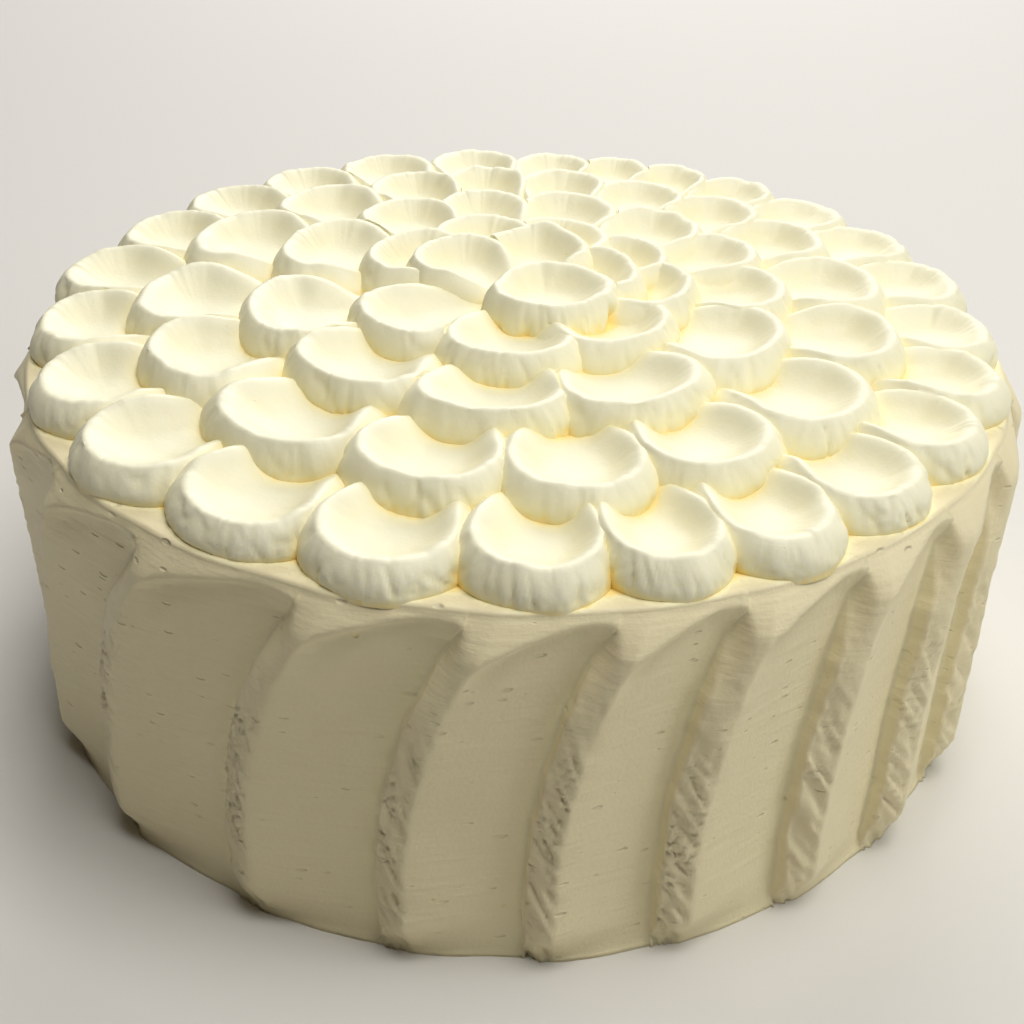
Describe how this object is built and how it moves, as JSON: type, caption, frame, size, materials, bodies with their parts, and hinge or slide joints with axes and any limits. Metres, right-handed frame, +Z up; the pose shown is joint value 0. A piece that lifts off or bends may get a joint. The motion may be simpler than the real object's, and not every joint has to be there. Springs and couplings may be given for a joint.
{
  "type": "layer cake",
  "caption": "Whole round layer cake in cream icing, with leaning upright strokes round its side and rings of overlapping spoon-swept petals over its top.",
  "frame": {"origin": "middle of the flat base, on the surface that the cake stands on", "axes": "+Z up, -Y towards the front, +X to the right seen from the front"},
  "size_m": [0.2378, 0.237, 0.1054],
  "materials": {
    "icing": "soft whipped cream icing, swept smooth with a spoon and a palette knife, slightly translucent"
  },
  "bodies": {
    "root": {"cake_body": "icing", "petals_outer": "icing", "petals_second": "icing", "petals_third": "icing", "petals_fourth": "icing", "petals_inner": "icing", "centre_dollop": "icing"}
  },
  "joints": []
}
